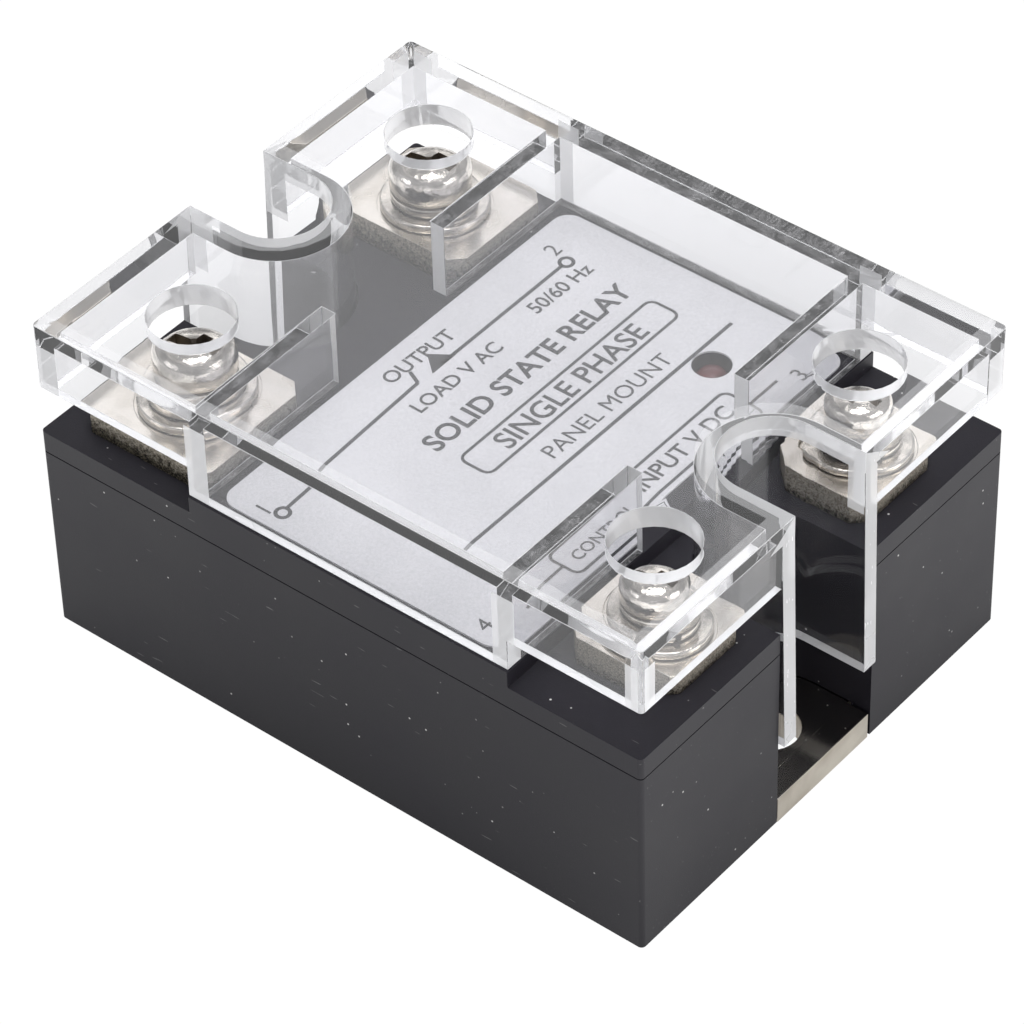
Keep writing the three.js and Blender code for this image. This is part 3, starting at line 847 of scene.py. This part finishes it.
def make_screw(terminal, material, painted_shade_material):
    """A pan-head screw with a turned thread and a combined slot and cross recess, darkened with painted
    shade, as is the underside of the head.
    """
    node = f"{terminal}_screw"
    low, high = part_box(node)
    centre = centre_of(node)
    head_radius = (high.x - low.x) / 2
    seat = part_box(f"{terminal}_spring_washer")[1].z
    load_side = head_radius > 3 * MM
    thread_radius = (1.93 if load_side else 1.43) * MM
    pitch = (0.7 if load_side else 0.5) * MM
    thread_depth = 0.55 * pitch
    sides = 48

    def thread(z):
        """The reach at each angle round a height, with a flat between the teeth."""
        def radius(angle):
            phase = (z / pitch - angle / (2 * math.pi)) % 1.0
            tooth = abs(2 * phase - 1)
            return thread_radius - thread_depth * min(1.0, 1.25 * tooth)
        return radius

    bm = bmesh.new()
    rings = [ring_of(bm, centre, thread_radius - thread_depth, low.z, sides)]
    rise = pitch / 8
    z = low.z + 0.25 * MM
    while z < seat - 0.5 * MM:
        rings.append(ring_of(bm, centre, thread(z), z, sides))
        z += rise
    height = high.z - seat
    neck_radius = thread_radius - 0.1 * MM
    neck = ((neck_radius, seat - 0.35 * MM), (neck_radius, seat))
    under_head = ((head_radius - 0.32 * MM, seat), (head_radius - 0.1 * MM, seat + 0.09 * MM))
    dome = (
        (head_radius, seat + 0.32 * MM),
        (head_radius, seat + 0.50 * height),
        (0.985 * head_radius, seat + 0.62 * height),
        (0.94 * head_radius, seat + 0.74 * height),
        (0.86 * head_radius, seat + 0.84 * height),
        (0.74 * head_radius, seat + 0.91 * height),
        (0.58 * head_radius, seat + 0.96 * height),
        (0.38 * head_radius, seat + 0.99 * height),
        (0.15 * head_radius, seat + height),
    )
    for radius, ring_z in neck + under_head + dome:
        rings.append(ring_of(bm, centre, radius, ring_z, sides))
    for lower, upper in zip(rings, rings[1:]):
        skin_between(bm, lower, upper)
    bm.faces.new(list(reversed(rings[0])))
    bm.faces.new(rings[-1])

    slot_half = (0.55 if load_side else 0.45) * MM
    slot_reach = 0.74 * head_radius
    cross_reach = 0.52 * head_radius
    above = high.z + 0.5 * MM
    recess_floor = high.z - 0.4 * height
    slot = bmesh.new()
    tapered_block(slot, centre, slot_reach, slot_half, recess_floor, above, 0.1 * MM)
    bm = cut_out(bm, slot)
    cross = bmesh.new()
    tapered_block(cross, centre, slot_half, cross_reach, recess_floor + 0.07 * MM, above, 0.13 * MM)
    bm = cut_out(bm, cross)
    funnel = [(0.2 * head_radius, recess_floor - 0.15 * MM), (0.34 * head_radius, above)]
    bm = cut_out(bm, lathe(funnel, centre, sides=24))
    piece = piece_from(bm, f"{terminal}_pan_head_screw", node, material, [node],
                       sharp=32, weighted=False)

    def in_recess_or_under_head(face):
        if face.center.z < seat or face.normal.z < -0.3:
            return True
        reach = (face.center.xy - centre.xy).length
        if reach > 0.92 * head_radius:
            return False
        for (outer, lower_z), (inner, upper_z) in zip(dome, dome[1:]):
            if inner <= reach <= outer:
                share = (outer - reach) / (outer - inner)
                return face.center.z < lower_z + share * (upper_z - lower_z) - 0.06 * MM
        return face.center.z < high.z - 0.2 * MM and reach < 0.2 * head_radius

    # Painted shade in the recess and under the head.
    repaint(piece, painted_shade_material, in_recess_or_under_head)


def make_flat_washer(terminal, material, painted_shade_material):
    """A plain ring with rounded edges and painted shade on its underside."""
    node = f"{terminal}_flat_washer"
    low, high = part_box(node)
    centre = centre_of(node)
    outer = (high.x - low.x) / 2
    inner = (2.1 if outer > 3.8 * MM else 1.6) * MM
    profile = rounded_ring_profile(inner, outer, low.z, high.z, 0.22 * MM)
    bm = lathe(profile, centre, sides=72, closed=True)
    piece = piece_from(bm, f"{terminal}_plain_washer", f"{terminal}_washers", material,
                       [node], weighted=False)
    # Painted shade on the underside.
    repaint(piece, painted_shade_material, lambda face: face.normal.z < -0.4)


def make_spring_washer(terminal, material, painted_shade_material):
    """A split ring with rounded edges and painted shade above and below; the split is cut on the slant.
    """
    node = f"{terminal}_spring_washer"
    low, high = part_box(node)
    centre = centre_of(f"{terminal}_flat_washer")
    load_side = (high.z - low.z) > 0.9 * MM
    outer = (3.25 if load_side else 2.55) * MM
    inner = (2.1 if load_side else 1.6) * MM
    profile = rounded_ring_profile(inner, outer, low.z, high.z, 0.34 * MM)
    bm = bmesh.new()
    steps = 64
    split = 0.5 * MM / outer
    start = math.radians(-35) + split / 2
    span = 2 * math.pi - split
    rows = []
    for step in range(steps + 1):
        row = []
        for radius, z in profile:
            lean = 0.35 * (z - low.z) / outer
            angle = start + span * step / steps + lean
            place = (centre.x + radius * math.cos(angle), centre.y + radius * math.sin(angle), z)
            row.append(bm.verts.new(place))
        rows.append(row)
    for first, second in zip(rows, rows[1:]):
        skin_between(bm, first, second)
    bm.faces.new(rows[0])
    bm.faces.new(list(reversed(rows[-1])))
    piece = piece_from(bm, f"{terminal}_split_washer", f"{terminal}_washers", material,
                       [node], weighted=False)
    # Painted shade on the faces above and below.
    repaint(piece, painted_shade_material, lambda face: abs(face.normal.z) > 0.45)


def make_led(lens_material, leg_material):
    """A flanged lens whose dome stops just short of its pole, on two legs."""
    low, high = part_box("indicator_led")
    centre = centre_of("indicator_led")
    radius = 1.5 * MM
    flange = 1.85 * MM
    base = low.z + 3.8 * MM
    dome = high.z - radius
    profile = [(flange, base), (flange, base + 0.85 * MM), (radius, base + 0.95 * MM), (radius, dome)]
    for step in range(1, 10):
        angle = math.radians(9.6 * step)
        profile.append((radius * math.cos(angle), dome + radius * math.sin(angle)))
    lens = lathe(profile, centre, sides=48)
    piece_from(lens, "led_lens", "relay_body", lens_material, ["indicator_led"], weighted=False)

    leg_offset = 1.27 * MM
    leg_half = 0.25 * MM
    legs = bmesh.new()
    for side in (-1, 1):
        leg = (centre.x + side * leg_offset, centre.y)
        tapered_block(legs, leg, leg_half, leg_half, low.z, base - 0.02 * MM, 0.04 * MM)
    piece_from(legs, "led_legs", "relay_body", leg_material, weighted=False)


# -------------------- label printing

# Places, sizes and widths on the label are in millimetres.
INK = 0.012 * MM


def label_top():
    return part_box("label")[1].z


def prism(bm, corners):
    """An ink-thick solid that stands on the label."""
    bottom = label_top()
    lower = [bm.verts.new((corner.x, corner.y, bottom)) for corner in corners]
    upper = [bm.verts.new((corner.x, corner.y, bottom + INK)) for corner in corners]
    bm.faces.new(list(reversed(lower)))
    bm.faces.new(upper)
    skin_between(bm, lower, upper)


def flat_bar(bm, start, end, width):
    """A straight printed line between two points of the label."""
    first = Vector((*start, 0)) * MM
    last = Vector((*end, 0)) * MM
    along = (last - first).normalized()
    aside = Vector((-along.y, along.x, 0)) * width * MM / 2
    prism(bm, [first - aside, last - aside, last + aside, first + aside])


def printed_path(bm, points, width, closed=False):
    ends = points[1:]
    if closed:
        ends = ends + points[:1]
    for start, end in zip(points, ends):
        flat_bar(bm, start, end, width)


def printed_ring(bm, centre, radius, width):
    top = label_top()
    middle = (centre[0] * MM, centre[1] * MM)
    inner = (radius - width / 2) * MM
    outer = (radius + width / 2) * MM
    profile = [(inner, top), (outer, top), (outer, top + INK), (inner, top + INK)]
    rings = [ring_of(bm, middle, reach, z, sides=32) for reach, z in profile]
    for lower, upper in zip(rings, rings[1:] + rings[:1]):
        skin_between(bm, lower, upper)


def printed_text(bm, words, start, end, bold=0.0, size=None):
    """Plain lettering centred on a line, and as long as the line unless it is given a size."""
    curve = bpy.data.curves.new("words", "FONT")
    curve.body = words
    curve.size = 1.0
    curve.offset = bold
    curve.resolution_u = 4
    holder = new_object("words", curve)
    box = [Vector(corner) for corner in evaluated(holder).bound_box]
    low, high = box[0], box[6]
    middle_x = (high.x + low.x) / 2
    middle_y = (high.y + low.y) / 2
    line = Vector(end) - Vector(start)
    scale = size * MM if size else line.length * MM / (high.x - low.x)
    curve.extrude = INK / scale / 2
    mesh = bpy.data.meshes.new_from_object(evaluated(holder))
    spot = (Vector(start) + Vector(end)) / 2 * MM
    mesh.transform(
        Matrix.Translation((spot.x, spot.y, label_top() + INK / 2))
        @ Matrix.Rotation(math.atan2(line.y, line.x), 4, "Z")
        @ Matrix.Scale(scale, 4)
        @ Matrix.Translation((-middle_x, -middle_y, 0))
    )
    bm.from_mesh(mesh)
    bpy.data.objects.remove(holder)
    bpy.data.meshes.remove(mesh)
    bpy.data.curves.remove(curve)


def rounded_frame(x, y, radius):
    """The points of a frame with rounded corners, in order round it."""
    points = []
    steps = 4
    corners = ((x[1], y[1], 0), (x[0], y[1], 90), (x[0], y[0], 180), (x[1], y[0], 270))
    for corner_x, corner_y, start in corners:
        inward_x = corner_x - math.copysign(radius, corner_x - sum(x) / 2)
        inward_y = corner_y - math.copysign(radius, corner_y - sum(y) / 2)
        for step in range(steps + 1):
            angle = math.radians(start + 90 * step / steps)
            points.append((inward_x + radius * math.cos(angle), inward_y + radius * math.sin(angle)))
    return points


def make_printing(material):
    """Generic wording, the terminal numbers, and the lines that lead to the terminals."""
    plain, medium, heavy = 0.0, 0.012, 0.022
    wording = (
        ("OUTPUT", (-9.8, -4.1), (-9.5, 3.3), medium),
        ("LOAD V AC", (-5.9, -5.3), (-5.7, 4.4), medium),
        ("50/60 Hz", (-6.2, 9.1), (-6.0, 15.9), medium),
        ("SOLID STATE RELAY", (-2.35, -7.9), (-2.2, 15.6), heavy),
        ("SINGLE PHASE", (1.7, -4.4), (1.75, 12.6), medium),
        ("PANEL MOUNT", (5.2, -3.2), (5.4, 11.2), plain),
        ("CONTROL", (13.0, -10.8), (13.0, -3.8), medium),
        ("INPUT V DC", (12.8, -2.0), (12.8, 9.2), medium),
    )
    bm = bmesh.new()
    for words, start, end, bold in wording:
        printed_text(bm, words, start, end, bold)
    numerals = {"1": (-8.4, -19.1), "2": (-9.5, 15.8), "3": (13.8, 15.6), "4": (12.5, -18.7)}
    for numeral, (x, y) in numerals.items():
        printed_text(bm, numeral, (x, y - 1), (x, y + 1), size=2.1)

    # The load circuit's line, with its contact and arrow between terminals 1 and 2.
    line = 0.32
    fine_line = 0.26
    frame_corner = 0.7
    terminal_ring = 0.55
    printed_ring(bm, (-7.0, -18.5), terminal_ring, line)
    printed_path(bm, [(-7.1, -17.9), (-7.7, -2.8), (-9.0, -2.2)], line)
    printed_path(bm, [(-7.7, 0.0), (-7.7, 14.8)], line)
    triangle = [Vector((*point, 0)) * MM for point in ((-7.5, -1.3), (-7.5, 1.5), (-9.3, 0.2))]
    prism(bm, triangle)
    printed_ring(bm, (-7.7, 15.3), terminal_ring, line)

    # The frame round the kind of relay, the rule under it, and the control circuit's frame and lines.
    printed_path(bm, rounded_frame((0.25, 3.2), (-7.6, 15.7), frame_corner), fine_line, closed=True)
    printed_path(bm, [(6.9, -15.2), (6.95, 17.3)], line)
    printed_path(bm, rounded_frame((11.3, 14.4), (-12.0, 10.6), frame_corner), fine_line, closed=True)
    printed_path(bm, [(12.9, 10.6), (12.9, 14.0)], fine_line)
    printed_path(bm, [(12.9, -12.0), (12.9, -15.4)], fine_line)
    piece_from(bm, "label_printing", "relay_body", material, sharp=30, weighted=False)


# -------------------- assembly

def paint_node(node, material):
    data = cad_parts[node].data
    data.materials.clear()
    data.materials.append(material)


def paint_inside(lead_material):
    """Materials for the pieces inside the housing, which keep their CAD shapes."""
    alumina = grained("alumina", (0.72, 0.70, 0.64), (0.84, 0.82, 0.76), 0.5, 4000)
    silicon = grained("silicon", (0.10, 0.105, 0.12), (0.17, 0.18, 0.21), 0.2, 2500, metallic=0.3)
    potting = grained("potting_compound", (0.012, 0.012, 0.013), (0.024, 0.024, 0.026), 0.4, 700)
    package = grained("component_black", (0.015, 0.015, 0.016), (0.03, 0.03, 0.032), 0.5, 6000)
    dipped = grained("capacitor_red", (0.28, 0.045, 0.025), (0.42, 0.08, 0.045), 0.3, 900)
    choices = (
        (lead_material, [f"{terminal}_lead" for terminal in TERMINALS]),
        (alumina, ["ceramic_substrate"]),
        (silicon, ["thyristor_1", "thyristor_2"]),
        (potting, ["potting"]),
        (circuit_laminate(), ["circuit_board"]),
        (package, ["optocoupler", "input_transistor", "protection_diode"]),
        (dipped, ["snubber_capacitor"]),
        (banded_resistor(), [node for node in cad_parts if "resistor" in node]),
    )
    for material, nodes in choices:
        for node in nodes:
            paint_node(node, material)


add_camera()
add_stage()

# The deck and notch copies reflect less, as painted shade.
make_housing(black_moulding("black_moulding", specular=0.47),
             black_moulding("black_moulding_deck_shaded", specular=0.34),
             black_moulding("black_moulding_notch_shaded", specular=0.1))
make_rounded("base_plate", "nickel_base_plate", 0.12 * MM, plate_nickel())
# The cuts, edges and rim copies carry painted light, and the foot carries painted shade.
make_cover(clear_moulding("clear_moulding", milk=0.008, roughness=0.0),
           clear_moulding("clear_moulding_cuts_and_painted_posts", milk=0.68, roughness=0.04, tint=0.88),
           clear_moulding("clear_moulding_edges", milk=0.6, roughness=0.25, tint=0.78),
           clear_moulding("clear_moulding_rim_painted_light", milk=0.22, roughness=0.03),
           resting_foot())
paint_node("label", label_film())
make_printing(print_ink())

# The pads' sides carry painted shade below these heights.
load_pad_material = pad_nickel("load_pad_nickel", dark_below=0.0195, bright_above=0.0218)
control_pad_material = pad_nickel("control_pad_nickel", dark_below=0.019, bright_above=0.0209)
screw_material = bright_nickel("screw_nickel")
washer_material = bright_nickel("washer_nickel", base=(0.72, 0.675, 0.61), roughness=(0.14, 0.3))
# Darker nickel copies: painted shade in the screw recesses and in the crevices between the washers and
# the head.
recess_shade_material = bright_nickel("recess_shade_nickel", base=(0.42, 0.375, 0.32), roughness=(0.25, 0.4))
crevice_shade_material = bright_nickel("crevice_shade_nickel", base=(0.1, 0.085, 0.07), roughness=(0.35, 0.5))
for terminal in TERMINALS:
    pad = f"{terminal}_pad"
    pad_material = load_pad_material if centre_of(pad).x < 0 else control_pad_material
    make_rounded(pad, f"{terminal}_clamp_pad", 0.2 * MM, pad_material)
    make_flat_washer(terminal, washer_material, crevice_shade_material)
    make_spring_washer(terminal, washer_material, crevice_shade_material)
    make_screw(terminal, screw_material, recess_shade_material)

lead_material = tinned_strip()
paint_inside(lead_material)
make_led(red_lens(), lead_material)
